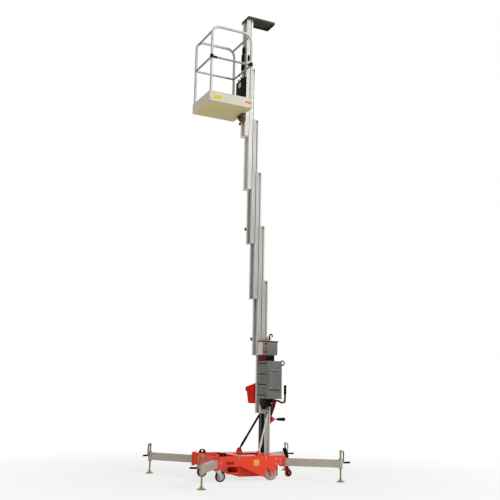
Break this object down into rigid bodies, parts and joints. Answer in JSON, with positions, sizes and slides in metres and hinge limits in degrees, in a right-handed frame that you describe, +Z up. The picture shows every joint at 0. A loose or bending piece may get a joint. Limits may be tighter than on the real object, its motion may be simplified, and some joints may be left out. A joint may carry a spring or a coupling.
{
  "type": "push-around vertical mast lift",
  "caption": "Push-around aerial platform: a guarded basket on a telescoping aluminium mast, a low red chassis on wheels, and outriggers with screw jacks.",
  "frame": {"origin": "on the floor, at the centre of the ground that the machine covers", "axes": "+Z up along the mast, -Y toward the platform side, +X to the machine's left side, where the power unit is"},
  "size_m": [1.996, 2.349, 6.654],
  "materials": {
    "red_paint": "satin paint",
    "bright_red": "gloss paint",
    "dark_red": "satin paint",
    "mast_aluminium": "anodised extrusion",
    "beam_aluminium": "mill finish",
    "charcoal_sheet": "satin",
    "rail_tube": "brushed",
    "toe_sheet": "satin",
    "floor_pan": "matt",
    "black_plastic": "moulded",
    "grey_plastic": "moulded",
    "box_metal": "satin",
    "black_metal": "satin",
    "zinc": "yellow zinc plate",
    "fork_steel": "zinc plate",
    "grey_tyre": "non-marking",
    "black_tyre": "matt",
    "red_wheel": "matt"
  },
  "bodies": {
    "root": {"chassis": "red_paint", "mast_section_1": "mast_aluminium", "stay_left": "rail_tube", "stay_right": "black_metal", "outrigger_front_left": "beam_aluminium", "outrigger_front_right": "beam_aluminium", "outrigger_rear_left": "beam_aluminium", "outrigger_rear_right": "beam_aluminium", "power_cover": "grey_plastic", "pump_unit": "black_metal", "control_box": "box_metal", "relay_block": "dark_red", "tool_box": "bright_red", "push_handle": "dark_red", "handle_bracket": "dark_red", "brake_lever": "bright_red", "tie_down_left": "black_metal", "tie_down_right": "black_metal"},
    "mast_2": {"mast_section_2": "mast_aluminium"},
    "mast_3": {"mast_section_3": "mast_aluminium"},
    "mast_4": {"mast_section_4": "mast_aluminium"},
    "mast_5": {"mast_section_5": "mast_aluminium"},
    "mast_6": {"mast_section_6": "mast_aluminium"},
    "mast_7": {"mast_section_7": "mast_aluminium", "mast_head_cover": "charcoal_sheet", "platform_floor": "floor_pan", "toeboard": "toe_sheet", "guardrail_left": "rail_tube", "guardrail_right": "rail_tube", "cross_rails": "rail_tube", "platform_console": "black_plastic", "platform_bracket": "charcoal_sheet"},
    "entry_gate": {"entry_gate": "rail_tube"},
    "jack_front_left": {"jack_front_left": "zinc"},
    "jack_front_right": {"jack_front_right": "zinc"},
    "jack_rear_left": {"jack_rear_left": "zinc"},
    "jack_rear_right": {"jack_rear_right": "zinc"},
    "rear_wheel_left": {"rear_wheel_left": "grey_tyre"},
    "caster_left": {"caster_fork_left": "fork_steel"},
    "caster_wheel_left": {"caster_wheel_left": "black_tyre"},
    "rear_wheel_right": {"rear_wheel_right": "grey_tyre"},
    "caster_right": {"caster_fork_right": "fork_steel"},
    "caster_wheel_right": {"caster_wheel_right": "black_tyre"},
    "guide": {"guide_fork": "dark_red", "guide_grip": "black_plastic"},
    "guide_wheel": {"guide_wheel": "red_wheel"}
  },
  "joints": [
    {"name": "mast_raise_2", "type": "slide", "parent": "root", "child": "mast_2", "axis": [0, 0, 1], "range_m": [-0.776, 0.66]},
    {"name": "mast_raise_3", "type": "slide", "parent": "mast_2", "child": "mast_3", "axis": [0, 0, 1], "range_m": [-0.776, 0.66]},
    {"name": "mast_raise_4", "type": "slide", "parent": "mast_3", "child": "mast_4", "axis": [0, 0, 1], "range_m": [-0.776, 0.66]},
    {"name": "mast_raise_5", "type": "slide", "parent": "mast_4", "child": "mast_5", "axis": [0, 0, 1], "range_m": [-0.776, 0.66]},
    {"name": "mast_raise_6", "type": "slide", "parent": "mast_5", "child": "mast_6", "axis": [0, 0, 1], "range_m": [-0.776, 0.66]},
    {"name": "mast_raise_7", "type": "slide", "parent": "mast_6", "child": "mast_7", "axis": [0, 0, 1], "range_m": [-0.776, 0.66]},
    {"name": "entry_gate_lift", "type": "slide", "parent": "mast_7", "child": "entry_gate", "axis": [0, 0, 1], "range_m": [0, 0.27]},
    {"name": "jack_front_left_screw", "type": "slide", "parent": "root", "child": "jack_front_left", "axis": [0, 0, 1], "range_m": [-0.06, 0.12]},
    {"name": "jack_front_right_screw", "type": "slide", "parent": "root", "child": "jack_front_right", "axis": [0, 0, 1], "range_m": [-0.06, 0.12]},
    {"name": "jack_rear_left_screw", "type": "slide", "parent": "root", "child": "jack_rear_left", "axis": [0, 0, 1], "range_m": [-0.06, 0.12]},
    {"name": "jack_rear_right_screw", "type": "slide", "parent": "root", "child": "jack_rear_right", "axis": [0, 0, 1], "range_m": [-0.06, 0.12]},
    {"name": "rear_wheel_left_spin", "type": "hinge", "parent": "root", "child": "rear_wheel_left", "pos_m": [0.301, 0.218, 0.089], "axis": [1, 0, 0], "continuous": true},
    {"name": "caster_left_swivel", "type": "hinge", "parent": "root", "child": "caster_left", "pos_m": [0.304, -0.556, 0.15], "axis": [0, 0, 1], "continuous": true},
    {"name": "caster_wheel_left_spin", "type": "hinge", "parent": "caster_left", "child": "caster_wheel_left", "pos_m": [0.304, -0.514, 0.068], "axis": [1, 0, 0], "continuous": true},
    {"name": "rear_wheel_right_spin", "type": "hinge", "parent": "root", "child": "rear_wheel_right", "pos_m": [-0.301, 0.218, 0.089], "axis": [1, 0, 0], "continuous": true},
    {"name": "caster_right_swivel", "type": "hinge", "parent": "root", "child": "caster_right", "pos_m": [-0.304, -0.556, 0.15], "axis": [0, 0, 1], "continuous": true},
    {"name": "caster_wheel_right_spin", "type": "hinge", "parent": "caster_right", "child": "caster_wheel_right", "pos_m": [-0.304, -0.514, 0.068], "axis": [1, 0, 0], "continuous": true},
    {"name": "guide_steer", "type": "hinge", "parent": "root", "child": "guide", "pos_m": [0, 0.64, 0.2], "axis": [0, 0, 1], "range_deg": [-90, 90]},
    {"name": "guide_wheel_spin", "type": "hinge", "parent": "guide", "child": "guide_wheel", "pos_m": [0, 0.66, 0.049], "axis": [1, 0, 0], "continuous": true}
  ],
  "couplings": [
    {"joint": "mast_raise_3", "follows": "mast_raise_2", "ratio": 1},
    {"joint": "mast_raise_4", "follows": "mast_raise_2", "ratio": 1},
    {"joint": "mast_raise_5", "follows": "mast_raise_2", "ratio": 1},
    {"joint": "mast_raise_6", "follows": "mast_raise_2", "ratio": 1},
    {"joint": "mast_raise_7", "follows": "mast_raise_2", "ratio": 1}
  ]
}
